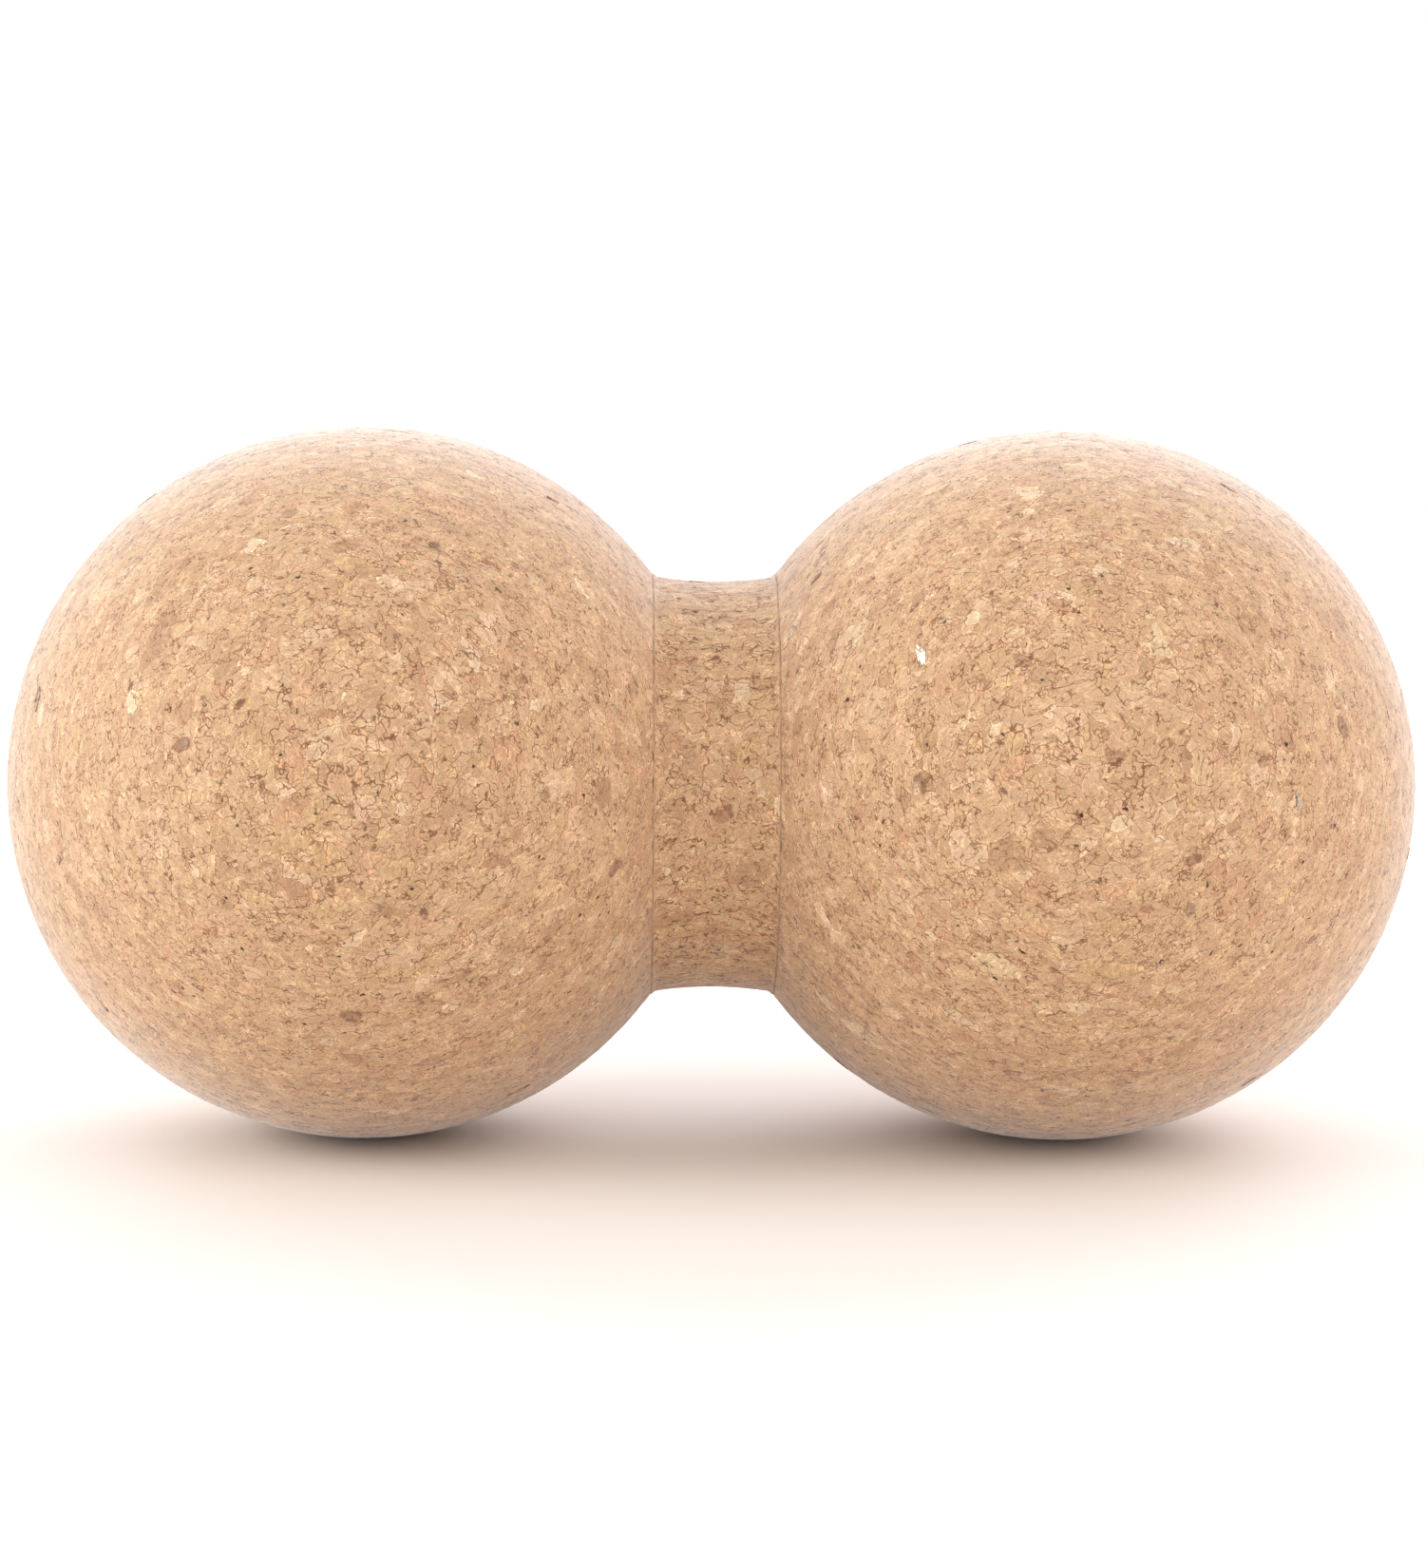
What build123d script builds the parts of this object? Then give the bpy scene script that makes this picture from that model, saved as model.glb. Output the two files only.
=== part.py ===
from build123d import *
import math
import os
import random

# Duo massage ball in turned agglomerated cork, lying on its side.
#
# Two cork balls are joined by a short, slightly waisted cork neck. The neck is a turned spool:
# a round tenon on each end is glued into a blind socket in the ball, and the neck's shoulder is
# glued to a flat seat on the ball. The cork is pressed from flat granules, so a few large ones
# stand out in the turned surface: dark bark grains and pale grains, each one let into the cork.
#
# The frame has its origin at the middle of the neck. X runs along the object, from the left ball
# to the right ball, Y runs away from the front and Z is up. All sizes are in millimetres.

# ---- driving dimensions ----
BALL_DIAMETER = 80.0
NECK_LENGTH = 13.8  # between the two ball seats
WAIST_DIAMETER = 45.8  # the neck at its thinnest, half way along
WAIST_HOLLOW = 0.45  # how much the shoulders of the neck stand out over its waist
CREASE_RADIUS = 0.9  # left by the tool in the corner where the neck meets the ball
TENON_DIAMETER = 24.0
TENON_LENGTH = 18.0  # from the neck's shoulder
TENON_CHAMFER = 1.0
GLUE_FILM = 0.15
SOCKET_END_GAP = 1.0  # room for spare glue past the end of the tenon

# ---- grains in the surface ----
GRAIN_CORNERS = 9
CORNER_SHIFT = 0.3  # a corner is up to this share of a step round from its even place
CORNER_REACH = 0.74  # the nearest corner, as a share of the furthest that one may be
GRAIN_DEPTH = 1.1  # below the turned surface
GRAIN_ASPECT = 0.7  # width over length of a grain that is seen flat
GRAIN_EDGE_ASPECT = 0.3  # the same for a grain that is seen from its edge
GRAIN_TILT = 20.0  # degrees that a grain seen from its edge may lie off its neighbours' direction
FACE_ON = 0.8  # cosine of the angle to the press direction within which grains lie any way round
BARK_PROUD = 0.04  # bark is harder than cork, and the sander leaves it standing
BARK_LENGTH = 2.4
PALE_LENGTH = 3.2
LENGTH_SPREAD = 0.3  # grains are up to this share longer or shorter
GRAIN_CLEARANCE = 1.5  # least cork between two grains
SEAT_CLEARANCE = 2.0  # least cork between a grain and the edge of the seat
BARK_PER_BALL = 20  # spread over a ball, besides those at chosen places
PALE_PER_BALL = 12
BARK_ON_NECK = 4
PALE_ON_NECK = 4
NECK_GRAIN_SHARE = 0.4  # part of the neck's length, in the middle, that its grains' centres keep to
GOLDEN_TURN = 137.508  # degrees, spreads points evenly round a ball
RING_STEP = 12.0  # degrees round a ball's axis from a spot that is taken to the next one tried
PRESS_TILT = 12.5  # degrees above the horizontal at the front, the direction the cork was pressed in
OVERRUN = 2.0  # how far a cutting tool runs past the surface that it opens

# Grains at chosen places on the front. Each has its place in degrees from the neck end of the
# ball's axis and in degrees round that axis from the front towards the top, then its length,
# its width, and its turn in degrees from X towards the top.
LEFT_BARK_PLACES = [
    (77.1, 48.1, 1.7, 0.9, -20),
    (83.9, -11.6, 2.2, 1.5, -50),
    (78.3, -12.6, 1.6, 1.2, 70),
    (76.7, -28.6, 1.8, 0.8, -15),
    (62.6, 25.8, 1.4, 0.8, 60),
    (58.7, 6.1, 1.9, 1.3, 80),
    (106.1, 20.4, 1.4, 0.8, 35),
    (119.0, 0.6, 1.6, 0.8, 80),
    (142.3, -12.3, 1.3, 0.8, 70),
]
LEFT_PALE_PLACES = [
    (89.3, 1.4, 3.0, 2.4, 20),
    (92.3, 22.6, 3.2, 1.6, -70),
    (87.9, 33.8, 2.8, 1.8, 30),
    (77.8, 40.5, 2.4, 1.7, 0),
    (81.0, 10.7, 2.6, 1.8, -40),
    (53.2, 24.9, 2.2, 1.0, 40),
]
RIGHT_BARK_PLACES = [
    (92.8, 12.4, 2.1, 1.7, 10),
    (117.0, 12.2, 1.8, 1.4, 45),
    (79.3, 51.0, 2.0, 0.8, -5),
    (97.9, -11.1, 1.8, 0.9, -10),
    (128.0, -23.6, 1.6, 0.8, 50),
    (79.2, 27.4, 2.4, 1.5, -25),
    (105.1, -3.6, 2.2, 1.3, 15),
]
RIGHT_PALE_PLACES = [
    (94.8, 21.5, 7.4, 3.4, 25),
    (84.9, 31.0, 3.4, 1.9, 30),
    (70.7, -0.8, 2.6, 1.8, 40),
    (122.6, 3.8, 4.2, 2.6, 60),
]
WHITE_CHIP_PLACE = (63.4, 30.7, 3.3, 1.2, -68)

LEFT_SEED, RIGHT_SEED, NECK_SEED, CHIP_SEED = 11, 23, 5, 2

LEFT, RIGHT = -1, 1

# ---- worked out from the driving dimensions ----
ball_radius = BALL_DIAMETER / 2
waist_radius = WAIST_DIAMETER / 2
tenon_radius = TENON_DIAMETER / 2
socket_radius = tenon_radius + GLUE_FILM
seat_x = NECK_LENGTH / 2
shoulder_x = seat_x - GLUE_FILM
tenon_end_x = shoulder_x + TENON_LENGTH
socket_end_x = tenon_end_x + SOCKET_END_GAP

# The neck's outline is a shallow arc over the waist, then the crease arc, which starts along the
# end of the waist arc and turns up to the slope of the ball.
ball_slope = math.acos((waist_radius + WAIST_HOLLOW) / ball_radius)
waist_slope = 2 * math.atan(WAIST_HOLLOW / (shoulder_x - CREASE_RADIUS * math.sin(ball_slope)))
crease_run = CREASE_RADIUS * (math.sin(ball_slope) - math.sin(waist_slope))
crease_rise = CREASE_RADIUS * (math.cos(waist_slope) - math.cos(ball_slope))
waist_end_x = shoulder_x - crease_run
seat_radius = waist_radius + WAIST_HOLLOW + crease_rise
ball_centre_x = seat_x + math.sqrt(ball_radius**2 - seat_radius**2)
seat_angle = math.degrees(math.asin(seat_radius / ball_radius))

press_direction = Vector(0, -math.cos(math.radians(PRESS_TILT)), math.sin(math.radians(PRESS_TILT)))


def turned(outline):
    """The solid that an outline in the upper half of the XY plane makes when it turns about X."""
    return revolve(make_face(outline), axis=Axis.X)


def ball_blank(side):
    """One ball with its flat seat and its blind socket."""
    outer_pole = (ball_centre_x + ball_radius, 0)
    outline = Curve() + [
        Polyline(
            outer_pole,
            (socket_end_x, 0),
            (socket_end_x, socket_radius),
            (seat_x, socket_radius),
            (seat_x, seat_radius),
        ),
        ThreePointArc((seat_x, seat_radius), (ball_centre_x, ball_radius), outer_pole),
    ]
    ball = turned(outline)
    return ball if side == RIGHT else mirror(ball, about=Plane.YZ)


def neck_blank(proud=0.0):
    """The spool: the waisted neck and both tenons. Proud thickens the part between the balls."""
    waist_end = (waist_end_x, waist_radius + WAIST_HOLLOW + proud)
    shoulder = (shoulder_x, seat_radius + proud)
    start = (math.cos(waist_slope), math.sin(waist_slope))
    outline = Curve() + [
        ThreePointArc(
            (-waist_end[0], waist_end[1]),
            (0, waist_radius + proud),
            waist_end,
        ),
        TangentArc(waist_end, shoulder, tangent=start),
        Polyline(
            shoulder,
            (shoulder_x, tenon_radius),
            (tenon_end_x - TENON_CHAMFER, tenon_radius),
            (tenon_end_x, tenon_radius - TENON_CHAMFER),
            (tenon_end_x, 0),
            (-tenon_end_x, 0),
            (-tenon_end_x, tenon_radius - TENON_CHAMFER),
            (-tenon_end_x + TENON_CHAMFER, tenon_radius),
            (-shoulder_x, tenon_radius),
            (-shoulder_x, shoulder[1]),
        ),
        TangentArc((-waist_end[0], waist_end[1]), (-shoulder_x, shoulder[1]), tangent=(-start[0], start[1])),
    ]
    return turned(outline)


def glue_film(side):
    """The set adhesive of one joint: a washer under the shoulder and a sleeve round the tenon."""
    ring = turned(
        Polyline(
            (shoulder_x, tenon_radius),
            (shoulder_x, seat_radius),
            (seat_x, seat_radius),
            (seat_x, socket_radius),
            (tenon_end_x - TENON_CHAMFER, socket_radius),
            (tenon_end_x - TENON_CHAMFER, tenon_radius),
            close=True,
        )
    )
    return ring if side == RIGHT else mirror(ring, about=Plane.YZ)


def grain_tool(point, outward, along, length, width, rng):
    """A prism with an irregular outline, from under the turned surface to well clear of it."""
    corners = []
    for k in range(GRAIN_CORNERS):
        turn = 2 * math.pi * (k + rng.uniform(-CORNER_SHIFT, CORNER_SHIFT)) / GRAIN_CORNERS
        reach = rng.uniform(CORNER_REACH, 1) / 2
        corners.append((length * reach * math.cos(turn), width * reach * math.sin(turn)))
    base = Plane(origin=point - outward * GRAIN_DEPTH, x_dir=along, z_dir=outward)
    outline = make_face(Polyline(*corners, close=True))
    return extrude(base * outline, amount=GRAIN_DEPTH + OVERRUN)


def pressed_grain_tool(point, outward, typical_length, rng):
    """The tool for a grain that lies as the press left it.

    The granules are pressed flat, so the surface shows a grain's wide face where it faces the
    press, and a long thin edge, across the press direction, where it runs along it.
    """
    facing = abs(outward.dot(press_direction))
    tilt = rng.uniform(-1, 1) * (90 if facing > FACE_ON else GRAIN_TILT)
    along = outward.cross(press_direction).normalized().rotate(Axis((0, 0, 0), outward), tilt)
    length = typical_length * rng.uniform(1 - LENGTH_SPREAD, 1 + LENGTH_SPREAD)
    width = length * (GRAIN_EDGE_ASPECT + (GRAIN_ASPECT - GRAIN_EDGE_ASPECT) * facing)
    return grain_tool(point, outward, along, length, width, rng)


def spot_on_ball(side, from_neck, round_axis):
    """The point on a ball's surface, and the outward direction there, for two angles in degrees."""
    a, b = math.radians(from_neck), math.radians(round_axis)
    outward = Vector(-side * math.cos(a), -math.sin(a) * math.cos(b), math.sin(a) * math.sin(b))
    return Vector(side * ball_centre_x, 0, 0) + outward * ball_radius, outward


def placed_grain_tools(side, places, taken, rng):
    """The tools for grains at chosen places. Taken collects the centre and half length of each."""
    tools = []
    for from_neck, round_axis, length, width, turn in places:
        point, outward = spot_on_ball(side, from_neck, round_axis)
        level = (Vector(1, 0, 0) - outward * outward.X).normalized()
        along = level.rotate(Axis((0, 0, 0), outward), turn)
        tools.append(grain_tool(point, outward, along, length, width, rng))
        taken.append((point, length / 2))
    return tools


def free_spot(side, from_neck, round_axis, half_length, taken):
    """The first spot round a ball's axis, from the one asked for, that is clear of the grains so far."""
    point, outward = spot_on_ball(side, from_neck, round_axis)
    while any((point - other).length < half_length + half + GRAIN_CLEARANCE for other, half in taken):
        round_axis += RING_STEP
        point, outward = spot_on_ball(side, from_neck, round_axis)
    return point, outward


def spread_grain_tools(side, count, typical_length, taken, rng):
    """The tools for grains spread evenly over a ball, clear of its seat and of the grains so far."""
    half_length = typical_length * (1 + LENGTH_SPREAD) / 2
    nearest = math.radians(seat_angle) + (SEAT_CLEARANCE + half_length) / ball_radius
    first_turn = rng.uniform(0, 360)
    tools = []
    for k in range(count):
        from_neck = math.degrees(math.acos(-1 + (1 + math.cos(nearest)) * (k + 0.5) / count))
        point, outward = free_spot(side, from_neck, first_turn + k * GOLDEN_TURN, half_length, taken)
        tools.append(pressed_grain_tool(point, outward, typical_length, rng))
        taken.append((point, half_length))
    return tools


def neck_grain_tools(count, typical_length, half_steps, rng):
    """The tools for grains round the middle of the neck, at even or at odd half steps."""
    tools = []
    for k in range(count):
        turn = 2 * math.pi * (k + half_steps / 2) / count
        outward = Vector(0, -math.cos(turn), math.sin(turn))
        x = rng.uniform(-0.5, 0.5) * NECK_LENGTH * NECK_GRAIN_SHARE
        point = Vector(x, 0, 0) + outward * waist_radius
        tools.append(pressed_grain_tool(point, outward, typical_length, rng))
    return tools


def let_in(tools, skin):
    """The grains that tools leave inside a skin, as one group of separate solids."""
    solids = [solid for tool in tools for solid in (tool & skin).solids()]
    return Compound(children=solids)


def dressed_ball(side, bark_places, pale_places, rng):
    """A ball with its grains let in: the ball, its bark grains and its pale grains."""
    taken = []
    bark = placed_grain_tools(side, bark_places, taken, rng)
    pale = placed_grain_tools(side, pale_places, taken, rng)
    if side == RIGHT:
        taken.append((spot_on_ball(side, *WHITE_CHIP_PLACE[:2])[0], WHITE_CHIP_PLACE[2] / 2))
    bark += spread_grain_tools(side, BARK_PER_BALL, BARK_LENGTH, taken, rng)
    pale += spread_grain_tools(side, PALE_PER_BALL, PALE_LENGTH, taken, rng)
    centre = Pos(side * ball_centre_x, 0, 0)
    ball = ball_blank(side) - (bark + pale)
    bark_grains = let_in(bark, centre * Sphere(ball_radius + BARK_PROUD))
    return ball, bark_grains, let_in(pale, centre * Sphere(ball_radius))


def dressed_neck(rng):
    """The neck with its grains let in: the neck, its bark grains and its pale grains."""
    bark = neck_grain_tools(BARK_ON_NECK, BARK_LENGTH, 0, rng)
    pale = neck_grain_tools(PALE_ON_NECK, PALE_LENGTH, 1, rng)
    return neck_blank() - (bark + pale), let_in(bark, neck_blank(BARK_PROUD)), let_in(pale, neck_blank())


def main():
    left = dressed_ball(LEFT, LEFT_BARK_PLACES, LEFT_PALE_PLACES, random.Random(LEFT_SEED))
    right = dressed_ball(RIGHT, RIGHT_BARK_PLACES, RIGHT_PALE_PLACES, random.Random(RIGHT_SEED))
    neck = dressed_neck(random.Random(NECK_SEED))
    chip_tools = placed_grain_tools(RIGHT, [WHITE_CHIP_PLACE], [], random.Random(CHIP_SEED))
    nodes = {
        "left_ball": left[0],
        "left_ball_bark_grains": left[1],
        "left_ball_pale_grains": left[2],
        "right_ball": right[0] - chip_tools,
        "right_ball_bark_grains": right[1],
        "right_ball_pale_grains": right[2],
        "right_ball_white_chip": let_in(chip_tools, Pos(ball_centre_x, 0, 0) * Sphere(ball_radius)),
        "neck": neck[0],
        "neck_bark_grains": neck[1],
        "neck_pale_grains": neck[2],
        "left_glue_film": glue_film(LEFT),
        "right_glue_film": glue_film(RIGHT),
    }
    os.makedirs("parts", exist_ok=True)
    for name, shape in nodes.items():
        export_step(shape, f"parts/{name}.step")


main()
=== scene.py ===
import math

import bpy
from mathutils import Euler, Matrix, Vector


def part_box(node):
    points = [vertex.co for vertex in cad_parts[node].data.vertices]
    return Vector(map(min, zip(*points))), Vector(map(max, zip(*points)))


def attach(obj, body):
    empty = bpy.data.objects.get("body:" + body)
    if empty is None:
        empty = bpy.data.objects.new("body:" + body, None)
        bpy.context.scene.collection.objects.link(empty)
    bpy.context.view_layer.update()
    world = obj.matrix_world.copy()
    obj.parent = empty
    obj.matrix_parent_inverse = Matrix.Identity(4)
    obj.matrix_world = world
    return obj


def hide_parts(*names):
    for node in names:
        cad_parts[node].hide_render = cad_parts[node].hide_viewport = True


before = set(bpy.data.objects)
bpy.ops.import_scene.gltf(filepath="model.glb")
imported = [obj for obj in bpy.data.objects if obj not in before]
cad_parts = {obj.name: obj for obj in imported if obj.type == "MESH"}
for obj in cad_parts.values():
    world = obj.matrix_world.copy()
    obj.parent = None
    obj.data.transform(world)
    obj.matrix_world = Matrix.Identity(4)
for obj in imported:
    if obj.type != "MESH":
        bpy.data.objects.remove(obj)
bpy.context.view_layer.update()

# The looks of a duo massage ball in turned agglomerated cork: two balls, the neck between them
# and the larger grains in their surface. All lengths are in metres, and in millimetres where a
# name ends in _MM, because the cork's pattern is worked out in millimetres.

MM = 0.001
LEFT, RIGHT = -1, 1

# ---- sizes of the turned pieces, read from the frame ----
ball_low, ball_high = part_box("right_ball")
film_low, film_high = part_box("right_glue_film")
_, neck_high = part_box("neck")
BALL_RADIUS = (ball_high.z - ball_low.z) / 2
BALL_CENTRE_X = ball_high.x - BALL_RADIUS
SEAT_X = ball_low.x
SEAT_RADIUS = film_high.z
SHOULDER_X = film_low.x
TENON_END_X = neck_high.x

# ---- sizes that the frame does not give ----
WAIST_RADIUS = 22.9 * MM
WAIST_HOLLOW = 0.45 * MM
CREASE_RADIUS = 0.9 * MM
TENON_RADIUS = 12.0 * MM
SOCKET_RADIUS = 12.15 * MM
SOCKET_END_X = TENON_END_X + 1.0 * MM

# ---- how fine the meshes are ----
BALL_LEVELS = 7  # times the cube is divided before it is rounded
WAIST_ROWS = 24  # from the middle of the neck to its crease
CREASE_ROWS = 6
NECK_TURNS = 560
GRAIN_CUTS = 7
WELD = 0.002 * MM
SMOOTH_UNDER = math.radians(40)  # sharper edges than this stay crisp
FLAT_WITHIN = math.radians(1)
ON_SURFACE = 0.02 * MM  # how far below the turned surface a point still belongs to it
RELIEF_FADE = 0.8 * MM  # from a piece's edge, where there is no relief, to its full relief

# ---- the cork's granules ----
PRESS_TILT = math.radians(12.5)  # the press direction above the horizontal at the front
GRANULE_FLATNESS = 0.36  # thickness over width of a pressed granule
# Width of the granules of each grade, and the share of its cells that hold one whole granule.
# A cell that doesn't is filled with granules of the grade above it in this list, and the cells
# of the first grade with fill.
FILL_GRANULE_MM = 0.9
GRANULE_GRADES = [(1.5, 0.65), (2.6, 0.5), (4.2, 0.12)]
WARP_MM = 2.0  # how far a granule's outline strays from a straight-sided cell
WARP_WAVE_MM = 1.9
PIT_SPACING_MM = 2.6
PIT_SHARE = 0.42
PIT_RADIUS_MM = 0.38
PIT_DEPTH_MM = 0.3
GRANULE_STEP_MM = 0.05
SEAM_DEPTH_MM = 0.06
SEAM_WIDTH_MM = 0.3
RAGGED_MM = 1.1  # the most that a grain's outline shifts
RAGGED_WAVE_MM = 0.8

# ---- the cork's marks ----
# Streaks and fibres have these many waves to a millimetre: across the granule in its layer,
# through the layer, and along the granule. Real cork cells are 0.04 mm, too fine to show, so the
# fibres are drawn about three times as coarse.
STREAK_WAVES = (3.0, 4.0, 0.7)
FIBRE_WAVES = (9.0, 12.0, 4.0)
DARK_STROKE_WAVES = (1.0, 1.4, 0.45)
# The pale strokes are a painted highlight, as if ridges of the wrinkles caught the light.
HIGHLIGHT_STROKE_WAVES = (-1.2, 1.5, 0.5)
STROKE_WAVE_MM = 1.1
STROKE_PATCH_MM = 1.8
CRACK_WAVE_MM = 2.4
CRACK_PATCH_MM = 2.8
SEAM_PATCH_MM = 1.6
FINE_GRAIN_MM = 0.3
# Where marks show: the two heights of a noise between which they fade, and their share at each.
DARK_STROKE_PATCHES = (0.45, 0.51, 0.0, 0.85)
HIGHLIGHT_STROKE_PATCHES = (0.44, 0.5, 0.3, 0.0)
CRACK_PATCHES = (0.44, 0.5, 0.0, 0.9)
SEAM_PATCHES = (0.38, 0.47)
NOISE_LOW, NOISE_HIGH = 0.25, 0.75  # a noise lies mostly between these
STREAK_SHADE = 0.17  # the most that a streak darkens or lightens the cork
FIBRE_SHADE = 0.34
GAP_CORE_MM = 0.03  # a seam is fully dark up to here from its middle
GAP_MM = 0.09
# Painted highlight beside open seams: the cork is lightened by up to the gain below, fading out from this
# distance to the seam's width.
EDGE_HIGHLIGHT_FROM_MM = 0.1
EDGE_HIGHLIGHT_GAIN = 0.32
DARK_STROKE_WIDTH = 0.024  # widths of lines are in parts of the noise's height
HIGHLIGHT_STROKE_WIDTH = 0.05
CRACK_WIDTH_EDGE_ON = 0.05
CRACK_WIDTH_FACE_ON = 0.016
LINE_CORE = 0.2  # share of a line's width that has its full depth of colour
FINE_RELIEF = 0.1 * MM
CRACK_DEPTH = 2.0  # in heights of the fine relief
DARK_STROKE = "8A583A"
CRACK = "734A2E"
SEAM = "7C4F33"
PORE = "38251A"

GLUE_CLOUD_MM = 1.2  # how far it is from a thin place in the glue to a thick one


def linear(hex_colour):
    """An sRGB hex colour as a linear RGBA value."""
    channels = [int(hex_colour[i : i + 2], 16) / 255 for i in (0, 2, 4)]
    return tuple(c / 12.92 if c <= 0.04045 else ((c + 0.055) / 1.055) ** 2.4 for c in channels) + (1.0,)


def set_stops(ramp, stops):
    """Gives a colour ramp (position, hex colour) stops in place of the ones it starts with."""
    while len(ramp.elements) > 1:
        ramp.elements.remove(ramp.elements[-1])
    ramp.elements[0].position = stops[0][0]
    ramp.elements[0].color = linear(stops[0][1])
    for position, colour in stops[1:]:
        ramp.elements.new(position).color = linear(colour)


def add(tree, kind, inputs, stops=(), **settings):
    """Adds a node with its settings and colour stops, and sets each input or links a socket to it."""
    node = tree.nodes.new(kind)
    for name, value in settings.items():
        setattr(node, name, value)
    for where, value in inputs.items():
        if isinstance(value, bpy.types.NodeSocket):
            tree.links.new(value, node.inputs[where])
        else:
            node.inputs[where].default_value = value
    if stops:
        set_stops(node.color_ramp, stops)
    return node


# ---- the pattern of the cork, shared by its colour and its relief ----


def open_pits(tree, warped):
    """Pores that the sanding opened: 1 inside a pit and 0 outside."""
    cell = add(tree, "ShaderNodeTexVoronoi", {"Vector": warped, "Scale": 1 / PIT_SPACING_MM}, feature="F1")
    lot = add(
        tree, "ShaderNodeVectorMath", {0: cell.outputs["Color"], 1: (0, 1, 0)}, operation="DOT_PRODUCT"
    ).outputs["Value"]
    is_open = add(tree, "ShaderNodeMath", {0: lot, 1: PIT_SHARE}, operation="LESS_THAN").outputs[0]
    from_middle = add(
        tree, "ShaderNodeMath", {0: cell.outputs["Distance"], 1: PIT_SPACING_MM}, operation="MULTIPLY"
    ).outputs[0]
    near = add(
        tree,
        "ShaderNodeMapRange",
        {0: from_middle, 1: PIT_RADIUS_MM / 2, 2: PIT_RADIUS_MM, 3: 1.0, 4: 0.0},
        interpolation_type="SMOOTHSTEP",
    ).outputs[0]
    return add(tree, "ShaderNodeMath", {0: is_open, 1: near}, operation="MULTIPLY").outputs[0]


def pressed_granules(tree, place):
    """The cork at a place: sockets for its upright and flattened place, granules, seams and pits."""
    in_mm = add(tree, "ShaderNodeVectorMath", {0: place, "Scale": 1 / MM}, operation="SCALE").outputs[0]
    upright = add(
        tree, "ShaderNodeVectorRotate", {"Vector": in_mm, "Angle": PRESS_TILT}, rotation_type="X_AXIS"
    ).outputs[0]
    flat = add(
        tree, "ShaderNodeVectorMath", {0: upright, 1: (1, 1 / GRANULE_FLATNESS, 1)}, operation="MULTIPLY"
    ).outputs[0]
    wave_settings = {"Vector": flat, "Scale": 1 / WARP_WAVE_MM, "Detail": 4.0, "Roughness": 0.62}
    wave = add(tree, "ShaderNodeTexNoise", wave_settings).outputs["Color"]
    warped = add(
        tree, "ShaderNodeVectorMath", {0: wave, 1: (WARP_MM,) * 3, 2: flat}, operation="MULTIPLY_ADD"
    ).outputs[0]

    # The fill is too fine to show its seams.
    fill = add(tree, "ShaderNodeTexVoronoi", {"Vector": warped, "Scale": 1 / FILL_GRANULE_MM}, feature="F1")
    chosen, seam = fill.outputs["Color"], 1.0
    for size, share in GRANULE_GRADES:
        cell = add(tree, "ShaderNodeTexVoronoi", {"Vector": warped, "Scale": 1 / size}, feature="F1")
        border = add(
            tree, "ShaderNodeTexVoronoi", {"Vector": warped, "Scale": 1 / size}, feature="DISTANCE_TO_EDGE"
        )
        border_mm = add(
            tree, "ShaderNodeMath", {0: border.outputs["Distance"], 1: size}, operation="MULTIPLY"
        ).outputs[0]
        lot = add(
            tree, "ShaderNodeVectorMath", {0: cell.outputs["Color"], 1: (1, 0, 0)}, operation="DOT_PRODUCT"
        ).outputs["Value"]
        whole = add(tree, "ShaderNodeMath", {0: lot, 1: share}, operation="LESS_THAN").outputs[0]
        chosen = add(
            tree, "ShaderNodeMix", {0: whole, 4: chosen, 5: cell.outputs["Color"]}, data_type="VECTOR"
        ).outputs[1]
        seam = add(tree, "ShaderNodeMix", {0: whole, 2: seam, 3: border_mm}, data_type="FLOAT").outputs[0]
    pit = open_pits(tree, warped)
    return {"upright": upright, "flat": flat, "random": chosen, "seam": seam, "pit": pit}


def relief_group():
    """Geometry nodes that sink the cork's steps, seams and pits into a turned surface."""
    tree = bpy.data.node_groups.new("cork_relief", "GeometryNodeTree")
    tree.interface.new_socket("Geometry", in_out="INPUT", socket_type="NodeSocketGeometry")
    tree.interface.new_socket("Turned Surface", in_out="INPUT", socket_type="NodeSocketFloat")
    tree.interface.new_socket("Geometry", in_out="OUTPUT", socket_type="NodeSocketGeometry")
    entry = add(tree, "NodeGroupInput", {})
    position = add(tree, "GeometryNodeInputPosition", {}).outputs[0]
    normal = add(tree, "GeometryNodeInputNormal", {}).outputs[0]
    cork = pressed_granules(tree, position)
    lot = add(
        tree, "ShaderNodeVectorMath", {0: cork["random"], 1: (0, 0, 1)}, operation="DOT_PRODUCT"
    ).outputs["Value"]
    step = add(tree, "ShaderNodeMath", {0: lot, 1: GRANULE_STEP_MM}, operation="MULTIPLY").outputs[0]
    groove = add(
        tree,
        "ShaderNodeMapRange",
        {0: cork["seam"], 1: 0.0, 2: SEAM_WIDTH_MM, 3: SEAM_DEPTH_MM, 4: 0.0},
        interpolation_type="SMOOTHSTEP",
    ).outputs[0]
    grooved = add(tree, "ShaderNodeMath", {0: step, 1: groove}, operation="ADD").outputs[0]
    depth = add(
        tree, "ShaderNodeMath", {0: cork["pit"], 1: PIT_DEPTH_MM, 2: grooved}, operation="MULTIPLY_ADD"
    ).outputs[0]
    kept = add(
        tree, "ShaderNodeMath", {0: depth, 1: entry.outputs["Turned Surface"]}, operation="MULTIPLY"
    ).outputs[0]
    inward = add(tree, "ShaderNodeMath", {0: kept, 1: -MM}, operation="MULTIPLY").outputs[0]
    offset = add(tree, "ShaderNodeVectorMath", {0: normal, "Scale": inward}, operation="SCALE").outputs[0]
    moved = add(tree, "GeometryNodeSetPosition", {"Geometry": entry.outputs["Geometry"], "Offset": offset})
    add(tree, "NodeGroupOutput", {"Geometry": moved.outputs["Geometry"]})
    return tree


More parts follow.
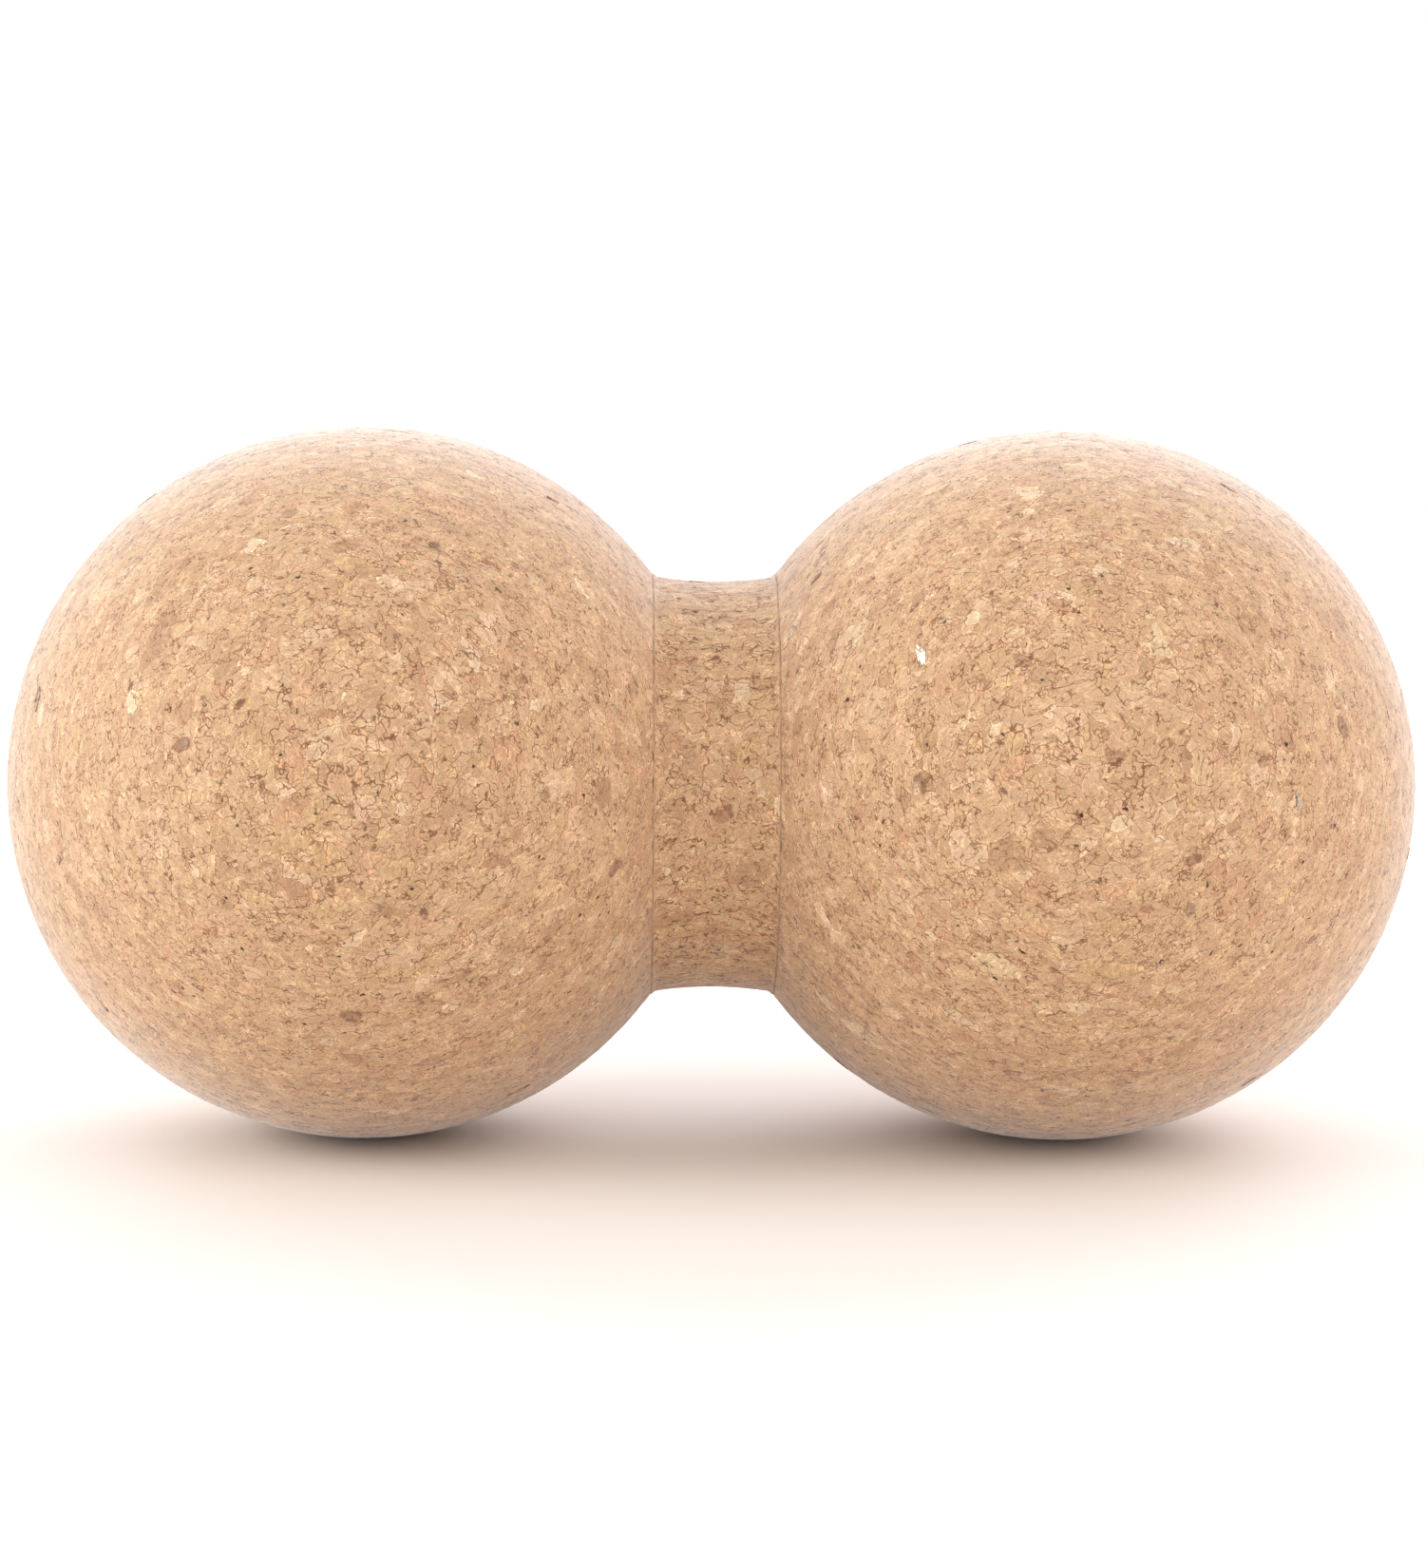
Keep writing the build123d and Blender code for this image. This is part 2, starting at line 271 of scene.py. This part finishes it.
def ragged_group():
    """Geometry nodes that shift points along the surface of the ball or neck that they lie in."""
    tree = bpy.data.node_groups.new("ragged_outline", "GeometryNodeTree")
    tree.interface.new_socket("Geometry", in_out="INPUT", socket_type="NodeSocketGeometry")
    tree.interface.new_socket("Centre", in_out="INPUT", socket_type="NodeSocketVector")
    tree.interface.new_socket("Along", in_out="INPUT", socket_type="NodeSocketVector")
    tree.interface.new_socket("Geometry", in_out="OUTPUT", socket_type="NodeSocketGeometry")
    entry = add(tree, "NodeGroupInput", {})
    position = add(tree, "GeometryNodeInputPosition", {}).outputs[0]
    in_mm = add(tree, "ShaderNodeVectorMath", {0: position, "Scale": 1 / MM}, operation="SCALE").outputs[0]
    wave = add(tree, "ShaderNodeTexNoise", {"Vector": in_mm, "Scale": 1 / RAGGED_WAVE_MM, "Detail": 3.0})
    centred = add(
        tree, "ShaderNodeVectorMath", {0: wave.outputs["Color"], 1: (0.5, 0.5, 0.5)}, operation="SUBTRACT"
    ).outputs[0]
    shift = add(
        tree, "ShaderNodeVectorMath", {0: centred, "Scale": RAGGED_MM * MM}, operation="SCALE"
    ).outputs[0]
    from_centre = add(
        tree, "ShaderNodeVectorMath", {0: position, 1: entry.outputs["Centre"]}, operation="SUBTRACT"
    ).outputs[0]
    outward = add(
        tree, "ShaderNodeVectorMath", {0: from_centre, 1: entry.outputs["Along"]}, operation="MULTIPLY"
    ).outputs[0]
    rise = add(tree, "ShaderNodeVectorMath", {0: shift, 1: outward}, operation="PROJECT").outputs[0]
    level = add(tree, "ShaderNodeVectorMath", {0: shift, 1: rise}, operation="SUBTRACT").outputs[0]
    moved = add(tree, "GeometryNodeSetPosition", {"Geometry": entry.outputs["Geometry"], "Offset": level})
    add(tree, "NodeGroupOutput", {"Geometry": moved.outputs["Geometry"]})
    return tree


# ---- modelling ----


def only(piece):
    """Makes a piece the only one selected, and the active one."""
    bpy.ops.object.select_all(action="DESELECT")
    piece.select_set(True)
    bpy.context.view_layer.objects.active = piece


def apply_modifiers(piece):
    only(piece)
    for modifier in list(piece.modifiers):
        bpy.ops.object.modifier_apply(modifier=modifier.name)


def settle(piece, name):
    """Names a piece and puts its place into its mesh."""
    only(piece)
    bpy.ops.object.transform_apply(location=True, rotation=True, scale=True)
    piece.name = piece.data.name = name


def fade_in(distance):
    """From 0 at a piece's edge to 1 where its relief is whole."""
    t = min(max(distance / RELIEF_FADE, 0.0), 1.0)
    return t * t * (3 - 2 * t)


def sink_relief(piece, group, weights):
    """Applies the cork's relief to a piece, by the weight of each of its vertices."""
    marked = piece.data.attributes.new("turned", "FLOAT", "POINT")
    marked.data.foreach_set("value", weights)
    relief = piece.modifiers.new("relief", "NODES")
    relief.node_group = group
    entry = next(i for i in group.interface.items_tree if i.name == "Turned Surface")
    relief[entry.identifier + "_use_attribute"] = True
    relief[entry.identifier + "_attribute_name"] = "turned"
    apply_modifiers(piece)
    piece.data.attributes.remove(piece.data.attributes["turned"])


def cork_ball(name, side, group):
    """A ball: a cube rounded to a sphere and cut off at its seat, with a blind socket."""
    bpy.ops.object.select_all(action="DESELECT")
    bpy.ops.mesh.primitive_cube_add(size=2 * BALL_RADIUS, location=(side * BALL_CENTRE_X, 0, 0))
    ball = bpy.context.object
    round_off = ball.modifiers.new("round_off", "SUBSURF")
    round_off.levels = round_off.render_levels = BALL_LEVELS
    cast = ball.modifiers.new("cast", "CAST")
    cast.cast_type = "SPHERE"
    cast.factor = 1.0
    cast.use_radius_as_size = False
    cast.size = BALL_RADIUS
    apply_modifiers(ball)
    settle(ball, name)

    bpy.ops.object.mode_set(mode="EDIT")
    bpy.ops.mesh.select_mode(type="EDGE")
    bpy.ops.mesh.select_all(action="SELECT")
    bpy.ops.mesh.bisect(plane_co=(side * SEAT_X, 0, 0), plane_no=(-side, 0, 0), clear_outer=True)
    bpy.ops.mesh.extrude_region_move()
    rim = SOCKET_RADIUS / SEAT_RADIUS
    bpy.ops.transform.resize(value=(1, rim, rim), center_override=(side * SEAT_X, 0, 0))
    depth = side * (SOCKET_END_X - SEAT_X)
    bpy.ops.mesh.extrude_region_move(TRANSFORM_OT_translate={"value": (depth, 0, 0)})
    bpy.ops.mesh.edge_face_add()
    bpy.ops.mesh.select_all(action="SELECT")
    bpy.ops.mesh.normals_make_consistent(inside=False)
    bpy.ops.object.mode_set(mode="OBJECT")

    centre = Vector((side * BALL_CENTRE_X, 0, 0))
    weights = []
    for vertex in ball.data.vertices:
        on_ball = (vertex.co - centre).length > BALL_RADIUS - ON_SURFACE
        weights.append(fade_in(abs(vertex.co.x) - SEAT_X) if on_ball else 0.0)
    sink_relief(ball, group, weights)
    bpy.ops.object.shade_smooth_by_angle(angle=SMOOTH_UNDER)
    return ball


def neck_profile():
    """The neck's outline from the end of the left tenon to the end of the right one, as (x, radius)."""
    slope = math.acos((WAIST_RADIUS + WAIST_HOLLOW) / BALL_RADIUS)
    start = 2 * math.atan(WAIST_HOLLOW / (SHOULDER_X - CREASE_RADIUS * math.sin(slope)))
    end_x = SHOULDER_X - CREASE_RADIUS * (math.sin(slope) - math.sin(start))
    half = []
    for k in range(WAIST_ROWS + 1):
        x = end_x * k / WAIST_ROWS
        half.append((x, WAIST_RADIUS + WAIST_HOLLOW * (x / end_x) ** 2))
    for k in range(1, CREASE_ROWS + 1):
        turn = start + (slope - start) * k / CREASE_ROWS
        x = end_x + CREASE_RADIUS * (math.sin(turn) - math.sin(start))
        radius = WAIST_RADIUS + WAIST_HOLLOW + CREASE_RADIUS * (math.cos(start) - math.cos(turn))
        half.append((x, radius))
    half.append((SHOULDER_X, TENON_RADIUS))
    half.append((TENON_END_X, TENON_RADIUS))
    half.append((TENON_END_X, 0.0))
    return [(-x, radius) for x, radius in reversed(half[1:])] + half


def cork_neck(name, group):
    """The neck: its outline drawn point by point and spun round the long axis."""
    profile = neck_profile()
    bpy.ops.object.select_all(action="DESELECT")
    bpy.ops.mesh.primitive_plane_add(size=1 * MM, location=(0, 0, 0))
    neck = bpy.context.object
    bpy.ops.object.mode_set(mode="EDIT")
    bpy.ops.mesh.select_mode(type="VERT")
    bpy.ops.mesh.select_all(action="SELECT")
    bpy.ops.mesh.merge(type="CENTER")
    bpy.ops.transform.translate(value=(profile[0][0], 0, profile[0][1]))
    for (x0, r0), (x1, r1) in zip(profile, profile[1:]):
        bpy.ops.mesh.extrude_region_move(TRANSFORM_OT_translate={"value": (x1 - x0, 0, r1 - r0)})
    bpy.ops.mesh.select_all(action="SELECT")
    bpy.ops.mesh.spin(steps=NECK_TURNS, angle=2 * math.pi, center=(0, 0, 0), axis=(1, 0, 0))
    bpy.ops.mesh.select_all(action="SELECT")
    bpy.ops.mesh.remove_doubles(threshold=WELD)
    bpy.ops.mesh.normals_make_consistent(inside=False)
    bpy.ops.object.mode_set(mode="OBJECT")
    settle(neck, name)

    weights = []
    for vertex in neck.data.vertices:
        on_waist = math.hypot(vertex.co.y, vertex.co.z) > WAIST_RADIUS - ON_SURFACE
        weights.append(fade_in(SHOULDER_X - abs(vertex.co.x)) if on_waist else 0.0)
    sink_relief(neck, group, weights)
    bpy.ops.object.shade_smooth_by_angle(angle=SMOOTH_UNDER)
    return neck


def ragged_grains(name, node, group):
    """A node's grains with broken outlines: a copy of them, welded, divided and shifted by noise."""
    only(node)
    bpy.ops.object.duplicate()
    grains = bpy.context.object
    bpy.ops.object.mode_set(mode="EDIT")
    bpy.ops.mesh.select_mode(type="VERT")
    bpy.ops.mesh.select_all(action="SELECT")
    bpy.ops.mesh.remove_doubles(threshold=WELD)
    bpy.ops.mesh.dissolve_limited(angle_limit=FLAT_WITHIN)
    bpy.ops.mesh.quads_convert_to_tris()
    bpy.ops.mesh.subdivide(number_cuts=GRAIN_CUTS)
    bpy.ops.mesh.normals_make_consistent(inside=False)
    bpy.ops.object.mode_set(mode="OBJECT")
    outline = grains.modifiers.new("ragged_outline", "NODES")
    outline.node_group = group
    in_neck = name.startswith("neck")
    side = LEFT if name.startswith("left") else RIGHT
    keys = {item.name: item.identifier for item in group.interface.items_tree if item.in_out == "INPUT"}
    outline[keys["Centre"]] = (0.0 if in_neck else side * BALL_CENTRE_X, 0.0, 0.0)
    outline[keys["Along"]] = (0.0 if in_neck else 1.0, 1.0, 1.0)
    apply_modifiers(grains)
    settle(grains, name)
    bpy.ops.object.shade_smooth_by_angle(angle=SMOOTH_UNDER)
    return grains


# ---- materials ----


def new_material(name):
    """An empty material with a shader, and the shader's node."""
    material = bpy.data.materials.new(name)
    material.use_nodes = True
    tree = material.node_tree
    tree.nodes.clear()
    surface = add(tree, "ShaderNodeBsdfPrincipled", {})
    add(tree, "ShaderNodeOutputMaterial", {"Surface": surface.outputs["BSDF"]})
    return material, tree, surface


def lit(tree, colour, share):
    """A colour made lighter by a share of itself."""
    gain = add(tree, "ShaderNodeMath", {0: share, 1: 1.0}, operation="ADD").outputs[0]
    return add(tree, "ShaderNodeVectorMath", {0: colour, "Scale": gain}, operation="SCALE").outputs[0]


def drawn_noise(tree, turned, waves, detail, roughness, scale=1.0):
    """Noise drawn out along a granule, by its waves to a millimetre in each direction."""
    drawn = add(tree, "ShaderNodeVectorMath", {0: turned, 1: waves}, operation="MULTIPLY").outputs[0]
    settings = {"Vector": drawn, "Scale": scale, "Detail": detail, "Roughness": roughness}
    return add(tree, "ShaderNodeTexNoise", settings).outputs["Fac"]


def patches(tree, place, size, *fades):
    """Soft patches from one noise: a share for each fade, which says where and how far it fades."""
    settings = {"Vector": place, "Scale": 1 / size, "Detail": 2.0}
    level = add(tree, "ShaderNodeTexNoise", settings).outputs["Fac"]
    shares = []
    for low, high, under, over in fades:
        ends = {0: level, 1: low, 2: high, 3: under, 4: over}
        shares.append(add(tree, "ShaderNodeMapRange", ends).outputs[0])
    return shares


def strokes(tree, level, width, where):
    """Thin curly lines where a noise crosses its middle value, kept by a share."""
    above = add(tree, "ShaderNodeMath", {0: level, 1: 0.5}, operation="SUBTRACT").outputs[0]
    away = add(tree, "ShaderNodeMath", {0: above}, operation="ABSOLUTE").outputs[0]
    share = add(tree, "ShaderNodeMath", {0: away, 1: width}, operation="DIVIDE").outputs[0]
    line = add(
        tree,
        "ShaderNodeMapRange",
        {0: share, 1: LINE_CORE, 2: 1.0, 3: 1.0, 4: 0.0},
        interpolation_type="SMOOTHSTEP",
    ).outputs[0]
    return add(tree, "ShaderNodeMath", {0: line, 1: where}, operation="MULTIPLY").outputs[0]


def grained(tree, colour, turned):
    """A colour shaded by streaks and fibres, which run along each granule."""
    streak = drawn_noise(tree, turned, STREAK_WAVES, detail=3.0, roughness=0.65)
    fibre = drawn_noise(tree, turned, FIBRE_WAVES, detail=2.0, roughness=0.7)
    streak_ends = {0: streak, 1: NOISE_LOW, 2: NOISE_HIGH, 3: 1 - STREAK_SHADE, 4: 1 + STREAK_SHADE}
    fibre_ends = {0: fibre, 1: NOISE_LOW, 2: NOISE_HIGH, 3: 1 - FIBRE_SHADE, 4: 1 + FIBRE_SHADE}
    streak_shade = add(tree, "ShaderNodeMapRange", streak_ends).outputs[0]
    fibre_shade = add(tree, "ShaderNodeMapRange", fibre_ends).outputs[0]
    shade = add(tree, "ShaderNodeMath", {0: streak_shade, 1: fibre_shade}, operation="MULTIPLY").outputs[0]
    return add(tree, "ShaderNodeVectorMath", {0: colour, "Scale": shade}, operation="SCALE").outputs[0]


def wrinkled(tree, colour, turned, upright):
    """A colour with wrinkles within the granules: thin curly dark strokes, and pale strokes that are a
    painted highlight on the wrinkles' ridges.
    """
    settings = {"detail": 2.0, "roughness": 0.45, "scale": 1 / STROKE_WAVE_MM}
    dark_level = drawn_noise(tree, turned, DARK_STROKE_WAVES, **settings)
    highlight_level = drawn_noise(tree, turned, HIGHLIGHT_STROKE_WAVES, **settings)
    fades = (DARK_STROKE_PATCHES, HIGHLIGHT_STROKE_PATCHES)
    dark_share, highlight_share = patches(tree, upright, STROKE_PATCH_MM, *fades)
    dark = strokes(tree, dark_level, DARK_STROKE_WIDTH, dark_share)
    # The pale strokes are a painted highlight on the wrinkles' ridges.
    pale = strokes(tree, highlight_level, HIGHLIGHT_STROKE_WIDTH, highlight_share)
    stroke_highlighted = lit(tree, colour, pale)
    return add(
        tree, "ShaderNodeMix", {0: dark, 6: stroke_highlighted, 7: linear(DARK_STROKE)}, data_type="RGBA"
    ).outputs[2]


def layer_cracks(tree, cork):
    """Cracks between the pressed layers, wider where the surface cuts across the layers."""
    facing = add(tree, "ShaderNodeSeparateXYZ", {0: cork["upright"]}).outputs[1]
    turned_away = add(tree, "ShaderNodeMath", {0: facing}, operation="ABSOLUTE").outputs[0]
    width = add(
        tree,
        "ShaderNodeMapRange",
        {0: turned_away, 1: 0.0, 2: WAIST_RADIUS / MM, 3: CRACK_WIDTH_EDGE_ON, 4: CRACK_WIDTH_FACE_ON},
    ).outputs[0]
    level = add(
        tree, "ShaderNodeTexNoise", {"Vector": cork["flat"], "Scale": 1 / CRACK_WAVE_MM, "Detail": 2.5}
    ).outputs["Fac"]
    (there,) = patches(tree, cork["flat"], CRACK_PATCH_MM, CRACK_PATCHES)
    return strokes(tree, level, width, there)


def seamed(tree, colour, cork, seam_share):
    """A colour with granule seams, dark only here and there, and a painted highlight beside the open ones,
    as if their edges caught the light.
    """
    (open_seam,) = patches(tree, cork["upright"], SEAM_PATCH_MM, (*SEAM_PATCHES, 0.0, seam_share))
    # Painted highlight: the cork just beside an open seam is made lighter, as if the seam's edge caught the
    # light.
    edge_highlight_ends = {0: cork["seam"], 1: EDGE_HIGHLIGHT_FROM_MM, 2: SEAM_WIDTH_MM, 3: EDGE_HIGHLIGHT_GAIN, 4: 0.0}
    edge_highlight = add(tree, "ShaderNodeMapRange", edge_highlight_ends).outputs[0]
    gap = add(
        tree,
        "ShaderNodeMapRange",
        {0: cork["seam"], 1: GAP_CORE_MM, 2: GAP_MM, 3: 1.0, 4: 0.0},
        interpolation_type="SMOOTHSTEP",
    ).outputs[0]
    # The painted highlight, kept only beside open seams.
    edge = add(tree, "ShaderNodeMath", {0: edge_highlight, 1: open_seam}, operation="MULTIPLY").outputs[0]
    seam = add(tree, "ShaderNodeMath", {0: gap, 1: open_seam}, operation="MULTIPLY").outputs[0]
    seam_highlighted = lit(tree, colour, edge)
    return add(tree, "ShaderNodeMix", {0: seam, 6: seam_highlighted, 7: linear(SEAM)}, data_type="RGBA").outputs[2]


def pressed_cork(name, tones, seam_share, open_pores):
    """Sanded cork, matte: close-toned granules with fibres, broken brown hairlines and a few pores."""
    material, tree, surface = new_material(name)
    place = add(tree, "ShaderNodeTexCoord", {}).outputs["Object"]
    cork = pressed_granules(tree, place)
    draws = add(tree, "ShaderNodeSeparateXYZ", {0: cork["random"]}).outputs
    tone, lot = draws[1], draws[2]
    colour = add(tree, "ShaderNodeValToRGB", {"Fac": tone}, tones).outputs["Color"]
    casts = [(0.0, "FBEFEF"), (0.25, "FFFFFF"), (0.75, "FFFFFF"), (1.0, "FDFDF3")]
    cast = add(tree, "ShaderNodeValToRGB", {"Fac": lot}, casts).outputs["Color"]
    tinted = add(tree, "ShaderNodeVectorMath", {0: colour, 1: cast}, operation="MULTIPLY").outputs[0]

    turn = add(tree, "ShaderNodeMath", {0: lot, 1: math.pi}, operation="MULTIPLY").outputs[0]
    turned = add(
        tree, "ShaderNodeVectorRotate", {"Vector": cork["upright"], "Angle": turn}, rotation_type="Y_AXIS"
    ).outputs[0]
    fibrous = grained(tree, tinted, turned)
    lined = wrinkled(tree, fibrous, turned, cork["upright"])
    crack = layer_cracks(tree, cork)
    cracked = add(tree, "ShaderNodeMix", {0: crack, 6: lined, 7: linear(CRACK)}, data_type="RGBA").outputs[2]
    joined = seamed(tree, cracked, cork, seam_share)
    pore = add(tree, "ShaderNodeMath", {0: cork["pit"], 1: open_pores}, operation="MULTIPLY").outputs[0]
    pitted = add(tree, "ShaderNodeMix", {0: pore, 6: joined, 7: linear(PORE)}, data_type="RGBA").outputs[2]
    tree.links.new(pitted, surface.inputs["Base Color"])

    fine_settings = {"Vector": cork["upright"], "Scale": 1 / FINE_GRAIN_MM, "Detail": 2.0, "Roughness": 0.6}
    fine = add(tree, "ShaderNodeTexNoise", fine_settings).outputs["Fac"]
    height = add(
        tree, "ShaderNodeMath", {0: crack, 1: -CRACK_DEPTH, 2: fine}, operation="MULTIPLY_ADD"
    ).outputs[0]
    bump_settings = {"Height": height, "Strength": 0.35, "Distance": FINE_RELIEF}
    bump = add(tree, "ShaderNodeBump", bump_settings)
    tree.links.new(bump.outputs["Normal"], surface.inputs["Normal"])
    surface.inputs["Roughness"].default_value = 0.75
    surface.inputs["IOR"].default_value = 1.45
    surface.inputs["Sheen Weight"].default_value = 0.58
    surface.inputs["Sheen Roughness"].default_value = 0.4
    return material


def set_adhesive():
    """Set cork glue: clear amber over cork, a little smoother than the cork beside it."""
    material, tree, surface = new_material("set_cork_adhesive")
    place = add(tree, "ShaderNodeTexCoord", {}).outputs["Object"]
    in_mm = add(tree, "ShaderNodeVectorMath", {0: place, "Scale": 1 / MM}, operation="SCALE").outputs[0]
    cloud = {"Vector": in_mm, "Scale": 1 / GLUE_CLOUD_MM, "Detail": 3.0}
    level = add(tree, "ShaderNodeTexNoise", cloud).outputs["Fac"]
    ambers = [(0.35, "9C7450"), (0.6, "BA9068")]
    colour = add(tree, "ShaderNodeValToRGB", {"Fac": level}, ambers).outputs["Color"]
    tree.links.new(colour, surface.inputs["Base Color"])
    surface.inputs["Roughness"].default_value = 0.5
    return material


def paper_floor():
    """White paper, fully matte, so that it gives back soft light and no reflections."""
    material, _, surface = new_material("white_paper_floor")
    surface.inputs["Base Color"].default_value = FLOOR_COLOUR
    surface.inputs["Roughness"].default_value = 0.9
    return material


# ---- studio ----

SOFTBOX_DISTANCE = 1.2
# Each softbox: name, width, height, degrees round from the front, degrees up, power, tint.
SOFTBOXES = [
    ("left_softbox", 0.9, 0.9, -80, 15, 11.9, "F8FBFF"),
    ("right_softbox", 0.9, 0.9, 80, 15, 4.6, "F8F4FF"),
    ("right_front_softbox", 0.9, 0.9, 45, 35, 2.4, "FFF4E8"),
    ("back_left_softbox", 0.8, 0.8, -150, 30, 4.3, "E4EEFF"),
    ("back_right_softbox", 0.8, 0.8, 150, 30, 7.4, "E8F0FF"),
    ("back_softbox", 1.4, 0.5, 180, 45, 1.7, "E4EEFF"),
]
FLOOR_SIZE = 1.8
FLOOR_COLOUR = (0.82, 0.77, 0.72, 1.0)  # a warm white, as linear light

CAMERA_DISTANCE = 0.501
CAMERA_AZIMUTH, CAMERA_ELEVATION, CAMERA_ROLL = -1.3, 8.0, 0.43
LENS = 101.8


def direction(azimuth, elevation):
    """The way from the object to a place round it, in degrees from the front and up."""
    a, e = math.radians(azimuth), math.radians(elevation)
    return Vector((math.sin(a) * math.cos(e), -math.cos(a) * math.cos(e), math.sin(e)))


def softbox(name, width, height, azimuth, elevation, power, tint):
    """A soft rectangular light that faces the object."""
    light = bpy.data.lights.new(name, "AREA")
    light.shape = "RECTANGLE"
    light.size, light.size_y = width, height
    light.energy = power
    light.color = linear(tint)[:3]
    holder = bpy.data.objects.new(name, light)
    back = direction(azimuth, elevation)
    holder.location = back * SOFTBOX_DISTANCE
    holder.rotation_euler = back.to_track_quat("Z", "Y").to_euler()
    bpy.context.collection.objects.link(holder)


def studio():
    """White surroundings, the softboxes and a sheet of paper under the object."""
    world = bpy.data.worlds.new("white_studio")
    bpy.context.scene.world = world
    world.use_nodes = True
    world.node_tree.nodes["Background"].inputs["Color"].default_value = linear("FFFFFF")
    world.node_tree.nodes["Background"].inputs["Strength"].default_value = 1.0
    for settings in SOFTBOXES:
        softbox(*settings)
    bpy.ops.mesh.primitive_plane_add(size=FLOOR_SIZE, location=(0, 0, -BALL_RADIUS))
    floor = bpy.context.object
    floor.name = "floor"
    floor.data.materials.append(paper_floor())


def camera():
    """The camera faces the front from a little above, with a long lens."""
    back = direction(CAMERA_AZIMUTH, CAMERA_ELEVATION)
    data = bpy.data.cameras.new("camera")
    data.lens = LENS
    data.clip_start = 0.01
    holder = bpy.data.objects.new("camera", data)
    holder.location = back * CAMERA_DISTANCE
    level = back.to_track_quat("Z", "Y").to_matrix().to_4x4()
    roll = Euler((0, 0, math.radians(CAMERA_ROLL))).to_matrix().to_4x4()
    holder.rotation_euler = (level @ roll).to_euler()
    bpy.context.collection.objects.link(holder)
    bpy.context.scene.camera = holder


# ---- the object ----


def dress(piece, material, node):
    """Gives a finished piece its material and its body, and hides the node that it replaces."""
    piece.data.materials.clear()
    piece.data.materials.append(material)
    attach(piece, "root")
    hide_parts(node)


camera()
studio()
bpy.context.scene.view_settings.view_transform = "Standard"

relief = relief_group()
ragged = ragged_group()
cork_tones = [
    (0.00, "AC8764"),
    (0.04, "B38E6A"),
    (0.15, "BA9570"),
    (0.40, "BD9973"),
    (0.70, "C09C77"),
    (0.90, "C3A07C"),
    (0.97, "C8A683"),
    (1.00, "D0B290"),
]
cork = pressed_cork("turned_agglomerated_cork", cork_tones, seam_share=0.75, open_pores=1.0)
dress(cork_ball("left_cork_ball", LEFT, relief), cork, "left_ball")
dress(cork_ball("right_cork_ball", RIGHT, relief), cork, "right_ball")
dress(cork_neck("cork_neck", relief), cork, "neck")

# Bark is brown and broken by pores. Dense pale cork has no open pores and fewer dark seams, so it
# looks smooth and light. The chip is cork bleached nearly white.
bark_tones = [(0.0, "74533E"), (0.3, "967254"), (1.0, "B18B68")]
pale_tones = [(0.0, "BE9A75"), (0.6, "C4A17C"), (1.0, "CDAD88")]
chip_tones = [(0.0, "E9E0D0"), (1.0, "F6F1E6")]
bark = pressed_cork("dark_cork_bark", bark_tones, seam_share=0.8, open_pores=1.0)
pale = pressed_cork("dense_pale_cork", pale_tones, seam_share=0.4, open_pores=0.0)
white = pressed_cork("bleached_cork_chip", chip_tones, seam_share=0.1, open_pores=0.0)
for name, node, material, slot in (
    ("left_dark_bark", "left_ball_bark_grains", bark, "bark_grain"),
    ("right_dark_bark", "right_ball_bark_grains", bark, "bark_grain"),
    ("neck_dark_bark", "neck_bark_grains", bark, "bark_grain"),
    ("left_pale_cork", "left_ball_pale_grains", pale, "pale_grain"),
    ("right_pale_cork", "right_ball_pale_grains", pale, "pale_grain"),
    ("neck_pale_cork", "neck_pale_grains", pale, "pale_grain"),
    ("right_bleached_chip", "right_ball_white_chip", white, "white_chip"),
):
    dress(ragged_grains(name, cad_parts[node], ragged), material, node)

glue = set_adhesive()
for node in ("left_glue_film", "right_glue_film"):
    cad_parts[node].data.materials.clear()
    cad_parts[node].data.materials.append(glue)
